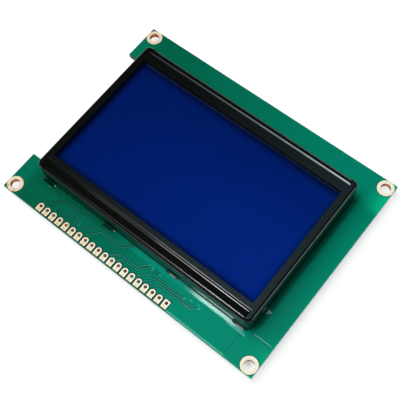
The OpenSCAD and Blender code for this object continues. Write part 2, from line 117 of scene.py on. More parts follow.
class BoardLooks(bpy.types.PropertyGroup):
    """Finish of the circuit board, its copper and its solder."""

    # The lacquer's colour carries painted light: it turns from the deep colour on the board's left to this
    # one on its right
    mask: colour("Solder mask", "Lacquer where it lies thin", (0.0004, 0.245, 0.154))
    # Painted light: lighter lacquer at the near right corner
    mask_near_light: colour("Near solder mask", "Lacquer over the copper at the near right corner",
                      (0.0006, 0.275, 0.175))
    # Painted light: lighter lacquer at the board's right corners
    mask_corner_light: colour("Corner solder mask", "Lacquer at the board's right corners", (0.0006, 0.5, 0.235))
    # Painted light: lighter lacquer along the foot of the near wall, for light thrown down from the wall
    mask_foot_light: colour("Foot solder mask", "Lacquer along the foot of the bezel's near wall",
                      (0.0006, 0.4, 0.29))
    # Deep lacquer in the copper gaps, and painted shade on the board's left and by the near wall
    mask_deep_and_shaded: colour("Deep solder mask", "Lacquer where it lies thick", (0.0003, 0.108, 0.052))
    mask_copper: colour("Solder mask on copper", "Lacquer over a track", (0.02, 0.46, 0.34))
    mask_edge: colour("Solder mask on an edge", "Lacquer on the edge of a copper area", (0.1, 0.6, 0.48))
    mask_gap: colour("Solder mask in a gap", "Lacquer in the gap beside a track", (0.0002, 0.05, 0.032))
    opening: colour("Mask opening", "Bare laminate round a land", (0.002, 0.045, 0.008))
    laminate: colour("Laminate", "Cut edge of the board", (0.32, 0.84, 0.74))
    # Painted shade: laminate made dark inside the slots and holes
    laminate_shaded: colour("Dark laminate", "Walls of the slots and holes", (0.02, 0.05, 0.035))
    plating: colour("Plating", "Flash-plated lands", (0.97, 0.92, 0.74))
    plating_warm: colour("Warm plating", "Lands where the flash is thin", (0.72, 0.5, 0.26))
    lining: colour("Lining", "Plating inside a hole", (0.75, 0.2, 0.04))
    print_white: colour("Print", "White legend ink, thin over the lacquer", (0.5, 0.9, 0.84))
    solder: colour("Solder", "Tin solder and tinned leads", (0.62, 0.63, 0.64))
    track_w: length("Track width", "Width of a track at its foot", 0.3)
    track_t: length("Track height", "Height of a track above the board", 0.035)
    track_gap: length("Track gap", "Gap in the copper on each side of a track", 0.15)
    opening_gap: length("Mask gap", "Bare laminate left round a land", 0.27)


class BezelLooks(bpy.types.PropertyGroup):
    """Finish of the folded bezel."""

    paint: colour("Paint", "Stoved black paint", (0.0018, 0.002, 0.0019))
    # Painted sheen: the rim turns to this lighter colour towards the near right
    rim_sheen_paint: colour("Rim paint", "Paint on the rim at the near right, where it is dusty",
                      (0.012, 0.023, 0.027))
    roughness: share("Roughness", "Roughness of the paint on the flat rim", 0.25)
    pressed: share("Pressed roughness", "Roughness of the paint on the pressed and folded faces", 0.15)
    peel: length("Orange peel", "Depth of the paint's ripple", 0.002)
    marks: length("Draw marks", "Depth of the marks that folding leaves down the walls", 0.01)
    bow: length("Bow", "How far the walls bow in towards the top", 0.45)


class DisplayLooks(bpy.types.PropertyGroup):
    """Finish of the display cell."""

    film: colour("Front film", "Tint of the front polarizer", (0.0004, 0.008, 0.09))
    film_cover: share("Film cover", "Share of the film that hides what lies under it", 0.16)
    field: colour("Display field", "Blue of the unlit field", (0.0008, 0.03, 0.34))
    # Painted shade: the field turns to this dark blue along its rim
    field_rim: colour("Field rim", "Blue along the rim of the field", (0.0004, 0.006, 0.05))
    rim_fade: length("Rim fade", "Width of the dark fade along the field's rim", 3.0)
    glass: colour("Glass edge", "Cut edge of the float glass", (0.25, 0.36, 0.34))


class PartLooks(bpy.types.PropertyGroup):
    """Colours of the display's inner pieces and of the parts on the back."""

    seal: colour("Seal", "Glue between the two glasses", (0.05, 0.055, 0.06))
    rear_film: colour("Rear film", "Rear polarizer", (0.1, 0.11, 0.14))
    rubber: colour("Rubber", "Connector strips", (0.55, 0.32, 0.32))
    rubber_band: colour("Rubber band", "Conducting bands of the connector strips", (0.01, 0.01, 0.01))
    white_film: colour("White film", "Diffuser and reflector", (0.82, 0.83, 0.83))
    guide: colour("Light guide", "Acrylic plate that spreads the light", (0.75, 0.8, 0.82))
    tray: colour("Tray", "Moulded frame of the backlight", (0.78, 0.78, 0.75))
    lamp_board: colour("Lamp board", "Laminate that carries the lamps", (0.7, 0.72, 0.66))
    phosphor: colour("Phosphor", "Faces of the lamps", (0.85, 0.66, 0.14))
    epoxy: colour("Epoxy", "Drops over the bonded chips", (0.008, 0.008, 0.009))
    moulding: colour("Moulding", "Bodies of the moulded circuits", (0.014, 0.014, 0.015))
    resistor: colour("Resistor", "Coating of the chip resistors", (0.012, 0.012, 0.014))
    capacitor: colour("Capacitor", "Bodies of the chip capacitors", (0.36, 0.24, 0.13))
    tank: colour("Charge capacitor", "Bodies of the charge capacitors", (0.55, 0.32, 0.05))
    tank_band: colour("Charge capacitor band", "Band by one end of a charge capacitor", (0.16, 0.06, 0.02))


class StudioLooks(bpy.types.PropertyGroup):
    """Floor, light and camera."""

    floor: colour("Floor", "Pale floor", (0.35, 0.35, 0.35))
    glow: share("Floor glow", "White that the floor shows round the module by itself", 0.7)
    sheen: share("Floor sheen", "Share of the floor's white that glossy surfaces mirror", 0.35)
    fill: power("Fill light", "Power of the wide soft lamp overhead", 8.0)
    key: power("Key light", "Power of the small lamp overhead", 1.75)
    key_tint: colour("Key tint", "Colour of the small lamp overhead", (0.88, 1.0, 1.0))
    front: power("Front light", "Power of the lamp in front that lights the folds", 0.8)
    front_left: share("Front left light", "Part of that power in the lamp to its left", 0.13)
    back: power("Back light", "Power of the first lamp on the right in the row behind", 0.2)
    back_fade: share("Back fade", "Part of a lamp's power that the next to its left in the row has", 0.71)
    back_tint: colour("Back tint", "Colour of the lamps behind and low on the right", (0.8, 1.0, 1.0))
    side: power("Side light", "Power of the low lamp on the right that lights the right fold", 1.2)
    under: power("Under light", "Power of the wide lamp below, which lights the back of the board", 6.0)
    room: share("Room light", "Glow of the room on the camera's side", 0.05)
    azimuth: angle("Azimuth", "Direction that the camera looks from, about the board's upright", 46.61)
    elevation: angle("Elevation", "Height of the camera above the horizon", 66.25)
    roll: angle("Roll", "Turn of the camera about its own axis", -8.52)
    distance: length("Distance", "From the camera to the board's middle, along its line of sight", 229.2)
    aside: length("Aside", "Camera's place to the right of the board's middle, as it sees it", 0.77)
    below: length("Below", "Camera's place below the board's middle, as it sees it", 4.13)
    lens: FloatProperty(name="Lens", description="Focal length", default=70.02, min=1.0, unit="CAMERA")
    sensor: FloatProperty(name="Sensor", description="Width of the sensor", default=36.0, min=1.0,
                          unit="CAMERA")


# Shader nodes

# Slope of the painted light that rises across the board from left to right
DRIFT = 0.75
LEVEL_RISE = (0.4, 0.6)
BLACK = (0.0, 0.0, 0.0)
WHITE = (1.0, 1.0, 1.0)


class Value:
    """A number or colour that nodes work out, held as the socket that gives it."""

    def __init__(self, tree, socket):
        self.tree = tree
        self.socket = socket

    def _math(self, operation, first, second=0.0):
        return self.tree.node("Math", {"operation": operation}, {0: first, 1: second})

    def __add__(self, other):
        return self._math("ADD", self, other)

    def __radd__(self, other):
        return self._math("ADD", other, self)

    def __sub__(self, other):
        return self._math("SUBTRACT", self, other)

    def __rsub__(self, other):
        return self._math("SUBTRACT", other, self)

    def __mul__(self, other):
        return self._math("MULTIPLY", self, other)

    def __rmul__(self, other):
        return self._math("MULTIPLY", other, self)

    def __truediv__(self, other):
        return self._math("DIVIDE", self, other)

    def __rtruediv__(self, other):
        return self._math("DIVIDE", other, self)

    def __mod__(self, other):
        return self._math("FLOORED_MODULO", self, other)

    def __lt__(self, other):
        return self._math("LESS_THAN", self, other)

    def __gt__(self, other):
        return self._math("GREATER_THAN", self, other)

    def __neg__(self):
        return self._math("MULTIPLY", self, -1.0)

    def __abs__(self):
        return self._math("ABSOLUTE", self)

    def least(self, other):
        """The smaller of two numbers."""
        return self._math("MINIMUM", self, other)

    def most(self, other):
        """The larger of two numbers."""
        return self._math("MAXIMUM", self, other)


class Tree:
    """The nodes of one material or world, all made by node()."""

    def __init__(self, owner):
        owner.use_nodes = True
        self.made = owner.node_tree
        self.made.nodes.clear()

    def node(self, kind, settings=None, sockets=None, output=0):
        """Adds a node, sets it up, then fills or links its sockets, and gives one of its outputs."""
        node = self.made.nodes.new("ShaderNode" + kind)
        for name, value in (settings or {}).items():
            setattr(node, name, value)
        for key, value in (sockets or {}).items():
            if isinstance(value, Value):
                self.made.links.new(value.socket, node.inputs[key])
            else:
                node.inputs[key].default_value = value
        return Value(self, node.outputs[output]) if node.outputs else None

    def mix(self, part, first, second):
        """Two colours mixed, with a part of the second from 0 to 1."""
        return self.node("Mix", {"data_type": "RGBA"}, {0: part, 6: opaque(first), 7: opaque(second)}, 2)

    def step(self, value, low, high):
        """0 below low and 1 above high, with a soft rise between them."""
        return self.node("MapRange", {"interpolation_type": "SMOOTHSTEP"},
                         {"Value": value, "From Min": low, "From Max": high})

    def close(self, value, place, inner, outer):
        """1 within inner of a place and 0 beyond outer, with a soft fall between them."""
        return 1 - self.step(abs(value - place), inner, outer)

    def in_row(self, value, first, pitch):
        """How far a value lies past the nearest place of an even row."""
        return (value - first + pitch / 2) % pitch - pitch / 2

    def split(self, vector):
        """The three numbers of a vector."""
        parts = self.node("SeparateXYZ", sockets={0: vector}).socket.node
        return [Value(self, socket) for socket in parts.outputs]


class Finish(Tree):
    """A material with one principled surface."""

    def __init__(self, name):
        self.material = bpy.data.materials.new(name)
        super().__init__(self.material)

    def place(self, stretch=(1.0, 1.0, 1.0)):
        """The point on the piece in millimetres, drawn out by a stretch along each axis."""
        point = self.node("TexCoord", output="Object")
        scale = [1 / (MM * s) for s in stretch]
        return self.node("VectorMath", {"operation": "MULTIPLY"}, {0: point, 1: scale})

    def noise(self, size, detail=2.0, stretch=(1.0, 1.0, 1.0)):
        """Cloudy noise from 0 to 1, with clouds of about that size in millimetres."""
        return self.node("TexNoise", sockets={
            "Vector": self.place(stretch), "Scale": 1 / size, "Detail": detail, "Roughness": 0.55})

    def level(self):
        """1 on faces that lie flat and 0 on upright ones."""
        normal = self.node("NewGeometry", output="Normal")
        return self.step(abs(self.split(normal)[2]), *LEVEL_RISE)

    def painted_light(self, lean=0.0):
        """Painted light: a soft rise from 0 at the board's left to 1 at its right, with a lean towards the
        near side.
        """
        x, y, _ = self.split(self.place())
        across = DRIFT * x / (BOARD_HIGH.x - BOARD_LOW.x)
        return self.step(across - lean * y / (BOARD_HIGH.y - BOARD_LOW.y), -0.5, 0.5)

    def bump(self, height, depth):
        """Surface tilt from a height, for a height of 1 that stands for a depth in millimetres."""
        return self.node("Bump", sockets={"Strength": 1.0, "Distance": depth * MM, "Height": height})

    def surface(self, sockets):
        """Closes the material with its shader."""
        shader = self.node("BsdfPrincipled", sockets={
            key: opaque(value) if "Color" in key else value for key, value in sockets.items()})
        self.node("OutputMaterial", sockets={"Surface": shader})
        return self.material


def opaque(tint):
    """A colour with full alpha, or a linked one as it is."""
    return tint if isinstance(tint, Value) else (*tint[:3], 1.0)


def shaded(tint, part):
    """A colour made darker or lighter by a part of itself."""
    return [part * channel for channel in tint[:3]]


# Where the finishes change, in millimetres: a pair says where a change starts and where it is complete

# Places of painted light and shade on the board: a lighter strip at its left end, lighter lacquer at the
# near right, along the near wall's foot and at the right corners, and shade by the near wall and its tab
# slots
LEFT_STRIP = (40.0, 44.0)
NEAR_RIGHT_X = (-6.0, 24.0)
NEAR_RIGHT_Y = (19.0, 27.0)
FOOT_START = (-12.0, 3.0)
FOOT_END = (-2.0, 1.0)
FOOT_REACH = (1.2, 2.2)
CORNER_X = (40.0, 48.0)
FAR_CORNER_Y = (22.5, 26.0)
NEAR_CORNER_Y = (24.0, 28.0)
SHADE_START = (-41.0, -39.0)
SHADE_END = (-16.0, -4.0)
SHADE_REACH = (1.6, 3.4)
FIRST_TAB_X = -35.95
TAB_PITCH = 23.7
TAB_HALF = (1.8, 2.5)
TAB_REACH = (0.8, 1.4)
CUT_DEPTH = (0.3, 0.5)
STRIPE_START = (0.55, 0.8)
STRIPE_HALF = (0.15, 0.45)
RIM_BAND = (-0.06, -0.02)
RISER_BAND = (-0.4, -0.35)
FIELD_DIM_Y = (-6.0, 20.0)

# Parts and shares of the finishes

FOOT_LIGHT_PART = 0.7
NEAR_CORNER_PART = 0.4
SHADE_PART = 0.2
TAB_SHADOW_PART = 0.9
WALL_STRAIGHT = 0.25
RISER_POLISH = 0.1
LIT_FADE = 1.1
FIELD_RANGE = (0.5, 1.28)
CHIP_BAND = (0.5, 0.9)


# Finishes

def painted_front_light_and_shade(finish, x, y):
    """Places on the board's front where light and shade are painted into the lacquer, each with how far it
    covers.
    """
    looks = bpy.context.scene.board_looks
    wall, wall_end = box("bezel")[0].y, box("bezel")[1].x
    # Painted light at the near right corner
    near_right_light = finish.step(x, *NEAR_RIGHT_X) * finish.step(-y, *NEAR_RIGHT_Y)
    # Painted light along the foot of the near wall, thrown down from the wall
    foot = finish.step(x, *FOOT_START) * (1 - finish.step(x - wall_end, *FOOT_END))
    foot = foot * finish.close(y, wall, *FOOT_REACH)
    # Painted light at the right corners
    corners = finish.step(y, *FAR_CORNER_Y) + NEAR_CORNER_PART * finish.step(-y, *NEAR_CORNER_Y)
    corners = corners * finish.step(x, *CORNER_X)
    # Painted shade by the near wall on the left
    shade = finish.step(x, *SHADE_START) * (1 - finish.step(x, *SHADE_END))
    shade = shade * finish.close(y, wall, *SHADE_REACH)
    # Painted shadow beside the tab slots
    tab_shadow = finish.close(finish.in_row(x, FIRST_TAB_X, TAB_PITCH), 0.0, *TAB_HALF)
    tab_shadow = tab_shadow * shade * finish.close(y, wall, *TAB_REACH)
    return (
        (near_right_light, looks.mask_near_light),
        (FOOT_LIGHT_PART * foot, looks.mask_foot_light),
        (corners, looks.mask_corner_light),
        (SHADE_PART * shade, shaded(looks.mask_deep_and_shaded, 0.55)),
        (TAB_SHADOW_PART * tab_shadow, shaded(looks.mask_gap, 0.2)),
    )


def mask_finish():
    """Green lacquer on the faces with painted light and shade, laminate that is pale on the cut edges and
    dark in the slots and holes as painted shade.
    """
    looks = bpy.context.scene.board_looks
    finish = Finish("solder_mask")
    x, y, z = finish.split(finish.place())
    front = z > middle("pcb").z
    clouds = finish.noise(16.0, 3.0)
    mottle = finish.noise(1.2, 3.0)
    # Painted light rising to the right, with cloudy tone that differs at random
    thin = finish.painted_light() + 0.3 * (clouds - 0.5) + 0.2 * (mottle - 0.5)
    mask = finish.mix(thin + 0.4 * finish.step(-x, *LEFT_STRIP), looks.mask_deep_and_shaded, looks.mask)
    # Painted light and shade on the front face only
    for cover, tint in painted_front_light_and_shade(finish, x, y):
        mask = finish.mix(front * cover, mask, tint)
    fibres = finish.noise(0.25, 2.0, (6.0, 6.0, 0.5))
    laminate = finish.mix(fibres, looks.laminate, shaded(looks.laminate, 0.75))
    from_edge = (BOARD_HIGH.x - abs(x)).least(BOARD_HIGH.y - abs(y))
    # Painted shade: the laminate walls turn dark away from the board's outer edges, in the slots, holes and
    # notch
    walls = finish.mix(finish.step(from_edge, *CUT_DEPTH), laminate, looks.laminate_shaded)
    level = finish.level()
    return finish.surface({
        "Base Color": finish.mix(level, walls, mask),
        "Roughness": 0.55 - 0.5 * level + 0.02 * clouds,
        "IOR": 1.5,
    })


def track_finish():
    """Lacquer over copper, a lighter green, with painted light rising to the right."""
    looks = bpy.context.scene.board_looks
    finish = Finish("masked_copper")
    thin = finish.painted_light() + 0.3 * (finish.noise(3.0) - 0.5)
    return finish.surface({
        "Base Color": finish.mix(thin, looks.mask_deep_and_shaded, looks.mask_copper),
        "Roughness": 0.2 + 0.05 * thin,
        "Specular IOR Level": 0.15,
    })


def gap_finish(name, base):
    """Lacquer or laminate in a gap of the copper, darker in patches."""
    finish = Finish(name)
    grain = finish.noise(0.4)
    return finish.surface({
        "Base Color": finish.mix(grain, base, shaded(base, 0.6)),
        "Roughness": 0.12 + 0.05 * grain,
        "Specular IOR Level": 0.1,
    })


def plating_finish():
    """Flash plating, warmer in patches and along each land, warmer on the left as painted shade, and brown
    in the holes.
    """
    looks = bpy.context.scene.board_looks
    finish = Finish("flash_plating")
    x, y, _ = finish.split(finish.place())
    stripe = finish.close(finish.in_row(x, PINS[0].x, PIN_PITCH), 0.0, *STRIPE_HALF)
    stripe = stripe * finish.step(PINS[0].y - y, *STRIPE_START)
    patches = finish.step(finish.noise(1.6, 3.0), 0.5, 0.75)
    # Painted shade: the lands turn warmer towards the board's left, and the stripes fade with the painted
    # light to the right
    corner = finish.step(1 - finish.painted_light(), 0.45, 0.9)
    warm = (0.5 * stripe * (1 - 0.7 * finish.painted_light()) + 0.25 * patches + 0.5 * corner).least(1.0)
    face = finish.mix(warm, looks.plating, looks.plating_warm)
    grain = finish.noise(0.12)
    return finish.surface({
        "Base Color": finish.mix(finish.level(), looks.lining, face),
        "Metallic": 0.04 + 0.16 * warm,
        "Roughness": 0.42 + 0.12 * grain,
        "Normal": finish.bump(grain, 0.004),
        "Specular IOR Level": 0.15,
    })


def bezel_finish():
    """Stoved black paint with orange peel, smoother where it was pressed, draw marks on the walls, and a
    painted sheen on the rim towards the near right.
    """
    looks = bpy.context.scene.bezel_looks
    finish = Finish("bezel_paint")
    peel = finish.noise(0.7)
    marks = finish.noise(0.5, 3.0, (1.0, 1.0, 14.0))
    worn = finish.noise(7.0, 3.0)
    level = finish.level()
    top = box("bezel")[1].z
    z = finish.split(finish.place())[2]
    rim = finish.step(z - top, *RIM_BAND)
    riser = (1 - rim) * finish.step(z - top, *RISER_BAND)
    lean = ((z - BOARD_HIGH.z) / (top - BOARD_HIGH.z) - WALL_STRAIGHT).most(0.0)
    walls = looks.marks / MM * marks - looks.bow / MM / (1 - WALL_STRAIGHT) ** 2 * lean * lean
    relief = looks.peel / MM * peel * level + walls * (1 - level)
    paint = finish.mix(worn, looks.paint, shaded(looks.paint, 1.6))
    # Painted sheen on the rim, growing towards the near right
    painted_sheen = finish.painted_light(0.2)
    roughness = looks.pressed + (looks.roughness - looks.pressed) * rim - RISER_POLISH * riser
    return finish.surface({
        "Base Color": finish.mix(rim * painted_sheen * painted_sheen, paint, looks.rim_sheen_paint),
        "Roughness": roughness + 0.03 * (worn - 0.5),
        "Normal": finish.bump(relief, 1.0),
        "IOR": 1.5,
    })


def film_finish():
    """Front polarizer: a thin dark blue film, mostly clear."""
    looks = bpy.context.scene.display_looks
    finish = Finish("blue_film")
    haze = finish.noise(9.0, 3.0)
    return finish.surface({
        "Base Color": finish.mix(haze, looks.film, shaded(looks.film, 0.8)),
        "Roughness": 0.2 + 0.08 * haze,
        "Alpha": looks.film_cover + 0.02 * haze,
        "Specular IOR Level": 0.1,
    })


def field_finish():
    """Blue field of the cell, with painted light that brightens it towards the near right corner and painted
    shade that darkens it along its rim.
    """
    looks = bpy.context.scene.display_looks
    finish = Finish("display_field")
    centre, size = middle("liquid_crystal"), span("liquid_crystal")
    x, y, _ = finish.split(finish.place())
    left, near = size.x / 2 + x - centre.x, size.y / 2 + y - centre.y
    shaded_side = left.least(size.y - near)
    lit_side = near.least(size.x - left)
    # Painted shade along the rim, widest on the left and far sides
    inside = finish.step(shaded_side.least(LIT_FADE * lit_side), 0.0, looks.rim_fade / MM)
    uneven = finish.noise(22.0)
    # Painted light towards the near right, dimmed towards the far side
    lit = finish.painted_light(0.2)
    lit = lit - 0.5 * lit * finish.step(y, *FIELD_DIM_Y)
    dark, bright = FIELD_RANGE
    field = finish.mix(lit, shaded(looks.field, dark), shaded(looks.field, bright))
    field = finish.mix(0.16 * uneven, field, looks.field_rim)
    return finish.surface({
        "Base Color": finish.mix(inside, looks.field_rim, field),
        "Roughness": 0.6,
        "Specular IOR Level": 0.0,
    })


def glass_finish():
    """Float glass, clear on its faces and green at its edges."""
    looks = bpy.context.scene.display_looks
    finish = Finish("float_glass")
    level = finish.level()
    return finish.surface({
        "Base Color": finish.mix(level, looks.glass, shaded(looks.glass, 0.05)),
        "Roughness": 0.05 + 0.04 * finish.noise(12.0),
        "Alpha": 0.5 - 0.49 * level,
        "Specular IOR Level": 0.2,
    })


def grained_finish(name, base, roughness, size=0.3, shade=0.8, depth=0.004, sockets=None):
    """A plain material with cloudy colour and a fine grain of that size in millimetres."""
    finish = Finish(name)
    clouds = finish.noise(8 * size, 3.0)
    grain = finish.noise(size)
    return finish.surface({
        "Base Color": finish.mix(clouds, base, shaded(base, shade)),
        "Roughness": roughness + 0.1 * (grain - 0.5),
        "Normal": finish.bump(grain, depth),
        **(sockets or {}),
    })


def banded_finish(name, base, band, axis, pitch, part, roughness):
    """A material with even bands along one axis."""
    finish = Finish(name)
    along = finish.split(finish.place())[axis]
    banded = (along % pitch) < part * pitch
    grain = finish.noise(0.3)
    return finish.surface({
        "Base Color": finish.mix(banded, base, band),
        "Roughness": roughness + 0.1 * grain,
        "Normal": finish.bump(grain, 0.005),
    })


def chip_finish(name, node, body, roughness, band=None):
    """A row of chip parts: a coloured body between tinned ends, with a band by one end or none."""
    looks = bpy.context.scene.board_looks
    finish = Finish(name)
    _, chip_l, axis = CHIP_ROWS[node]
    first, second = [place[axis] for place in chip_places(node)[:2]]
    offset = finish.in_row(finish.split(finish.place())[axis], first, second - first)
    body_end = chip_l / 2 - CHIP_TERMINAL
    tinned = finish.step(abs(offset) - body_end, -0.02, 0.02)
    grain = finish.noise(0.35)
    face = finish.mix(grain, body, shaded(body, 0.75))
    if band is not None:
        start, end = CHIP_BAND
        face = finish.mix((offset > start * body_end) * (offset < end * body_end), face, band)
    return finish.surface({
        "Base Color": finish.mix(tinned, face, looks.solder),
        "Metallic": 0.85 * tinned,
        "Roughness": roughness + 0.08 * grain,
        "Normal": finish.bump(grain, 0.004),
    })


def dress(material, *nodes):
    """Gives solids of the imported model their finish."""
    for name in nodes:
        for slot in frame["nodes"][name].material_slots:
            slot.material = material


# Meshes, drawn in millimetres

def kept(made, kind):
    """The items of one kind in what an operator made."""
    return [item for item in made["geom"] if isinstance(item, kind)]


def add_piece(name, bm, material):
    """Makes an object of a mesh and parents it to the root body's empty."""
    bmesh.ops.recalc_face_normals(bm, faces=bm.faces)
    bmesh.ops.scale(bm, vec=(MM, MM, MM), verts=bm.verts)
    mesh = bpy.data.meshes.new(name)
    bm.to_mesh(mesh)
    bm.free()
    mesh.materials.append(material)
    piece = bpy.data.objects.new(name, mesh)
    bpy.context.scene.collection.objects.link(piece)
    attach(piece, "root")


def outline(bm, points, z):
    """A flat face through points."""
    face = bm.faces.new([bm.verts.new((x, y, z)) for x, y in points])
    face.normal_update()
    return face


def raise_faces(bm, faces, height):
    """Raises faces into plates of that height."""
    made = bmesh.ops.extrude_face_region(bm, geom=faces)
    bmesh.ops.translate(bm, vec=(0, 0, height), verts=kept(made, bmesh.types.BMVert))


def sweep(bm, section, route, z):
    """Draws a section, given as offsets across and above, along a route with mitred turns."""
    points = [Vector((x, y, z)) for x, y in route]
    runs = [(end - start).normalized() for start, end in zip(points, points[1:])]
    across = Vector((-runs[0].y, runs[0].x, 0))
    first = [points[0] + across * side + Vector((0, 0, up)) for side, up in section]
    face = bm.faces.new([bm.verts.new(point) for point in first])
    for point, run, onward in zip(points[1:], runs, runs[1:] + runs[-1:]):
        face = kept(bmesh.ops.extrude_face_region(bm, geom=[face]), bmesh.types.BMFace)[0]
        mitre = (run + onward).normalized()
        for vert in face.verts:
            vert.co += run * ((point - vert.co).dot(mitre) / run.dot(mitre))


def turn(bm, profile, x, y, z, closed=False, segments=24):
    """Turns a profile, given as radii and heights, about an upright axis."""
    before = set(bm.verts)
    verts = [bm.verts.new((x + radius, y, z + height)) for radius, height in profile]
    ends = verts[1:] + (verts[:1] if closed else [])
    edges = [bm.edges.new(pair) for pair in zip(verts, ends)]
    bmesh.ops.spin(bm, geom=[*verts, *edges], cent=(x, y, z), axis=(0, 0, 1), angle=2 * math.pi,
                   steps=segments, use_merge=True)
    made = [vert for vert in bm.verts if vert not in before]
    bmesh.ops.remove_doubles(bm, verts=made, dist=1e-5)


def fillet(bm, foot, outward, width, reach, rise):
    """A hollow fillet of solder against an upright face, from the middle of the face's foot outward."""
    run = Vector((outward.y, -outward.x))
    route = [foot.xy - run * width / 2, foot.xy + run * width / 2]
    sweep(bm, [(reach * across, rise * up) for across, up in FILLET], route, BOARD_HIGH.z)


def turn_over(bm, verts):
    """Takes a mesh drawn on the front of the board to the same X and Y on its back."""
    bmesh.ops.scale(bm, vec=(1, 1, -1), verts=verts)
    bmesh.ops.translate(bm, vec=(0, 0, BOARD_LOW.z + BOARD_HIGH.z), verts=verts)


# Layout of the copper and print on the board, in millimetres

TRACK_SIDE = 0.08
FRONT_TRACKS = (
    ((2.83, -33), (6.93, -28.9), (18.7, -28.9)),
    ((5.37, -33), (8.87, -29.5), (21.5, -29.5), (23.0, -28.0)),
    ((7.91, -33), (10.71, -30.2), (22.3, -30.2), (23.8, -28.7)),
    ((-4.79, -33), (-2.59, -30.8), (2.3, -30.8), (5.8, -27.3)),
    ((-7.33, -33), (-4.33, -30.0), (2.0, -30.0), (4.7, -27.3)),
    ((6.3, -27.8), (9.0, -27.8)),
    ((-17.49, -33), (-12.89, -28.4), (-5.2, -28.4), (-2.4, -25.6)),
    ((-20.03, -33), (-14.73, -27.7), (-5.5, -27.7), (-3.4, -25.6)),
    ((-30.19, -33), (-30.19, -30.29), (-28.0, -28.1), (-21.8, -28.1), (-19.3, -25.6)),
    ((-32.73, -33), (-32.73, -31.93), (-28.0, -27.2), (-22.7, -27.2), (-21.1, -25.6)),
    ((-27.65, -33), (-27.65, -31.4), (-26.15, -29.9), (-19.9, -29.9)),
    ((-25.11, -33), (-25.11, -32.3), (-23.61, -30.8), (-19.6, -30.8)),
    ((-35.0, -26.9), (-29.2, -26.9)),
)
POUR_EDGES = (((16.8, -34.6), (36.7, -34.6)), ((40.0, -25.0), (45.8, -25.0)),
              ((32.0, -27.0), (38.3, -27.0)))
POUR_GAPS = (((40.0, -25.3), (45.8, -25.3)), ((-39.0, -25.5), (38.2, -25.5)))
POUR_SEAM = (((36.7, -34.2), (36.7, -27.3)),)
POUR_HALF = 0.12
SEAM_HALF = 0.05
POUR_T = 0.02
FRONT_VIAS = ((18.7, -28.9), (23.0, -28.0), (23.8, -28.7), (5.8, -27.3), (4.7, -27.3), (6.3, -27.8),
              (9.0, -27.8), (20.5, -28.2), (-19.9, -29.9), (-19.6, -30.8), (-35.0, -26.9), (-29.2, -26.9))
VIA_PROFILE = ((0.0, 0.02), (0.12, 0.02), (0.2, 0.05), (0.34, 0.05), (0.4, 0.0), (0.0, 0.0))
DROP_LAP = 0.3
VIA_STAGGER = 0.9
FAN_COUNT = 18
FAN_PITCH = 1.1
FAN_VIA_Y = 20.4
FAN_START = 160
FAN_SWEEP = 140
KNEE_RISE = 1.2
KNEE_END = 0.6
ROW_COUNT = 9
ROW_PITCH = 1.25
ROW_VIA_X = 13.6
STUB_ENDS = (-30.6, -29.4)
OPENING_T = 0.01
LAND_LAP = 0.06
ARCH_STEPS = 16
PRINT_T = 0.02
RING_GAP = 0.5
RING_W = 0.25
ARROW = ((38.94, -16.84), (39.04, -18.79), (40.33, -17.39))

# Parts on the back, where their groups' boxes don't give one part's size

CHIP_L = 2.0
CHIP_TERMINAL = 0.4
TANK_L = 3.2
# Count, length of one part and axis of each row
CHIP_ROWS = {"chip_resistors": (8, CHIP_L, 0), "chip_capacitors": (5, CHIP_L, 0),
             "charge_capacitors": (2, TANK_L, 1)}
GLOBS = ("row_driver_glob", "left_column_glob", "right_column_glob")
CIRCUITS = (("amplifier_leads", 7), ("converter_leads", 4))
LEAD_W = 0.42
LEAD_T = 0.2
PAD_HALF = 0.32
PAD_L = 1.5
PAD_T = 0.04
PAD_TOE = 0.4
FILLET = ((0.0, 0.0), (1.0, 0.0), (0.62, 0.12), (0.3, 0.4), (0.0, 1.0))
FILLET_REACH = 0.45
FILLET_RISE = 0.7
LEAD_VIAS = (1.3, 2.2)


def track_section(half, top):
    """Section of a track or gap: a low bar with sloping sides, given half its width and its height."""
    upper = max(half - TRACK_SIDE, half / 2)
    return ((-half, 0.0), (half, 0.0), (upper, top), (-upper, top))


def land_outline(pin, gap, square):
    """Outline of a header land, let out by a gap: square, or with an arch over its hole."""
    half = LAND_W / 2 + gap
    low = pin.y - LAND_TAIL - gap
    arch = [math.pi * i / ARCH_STEPS for i in range(ARCH_STEPS + 1)]
    upper = [(pin.x + half * math.cos(a), pin.y + half * math.sin(a)) for a in arch]
    if square:
        upper = [(pin.x + half, pin.y + half), (pin.x - half, pin.y + half)]
    return [(pin.x - half, low), (pin.x + half, low), *upper]


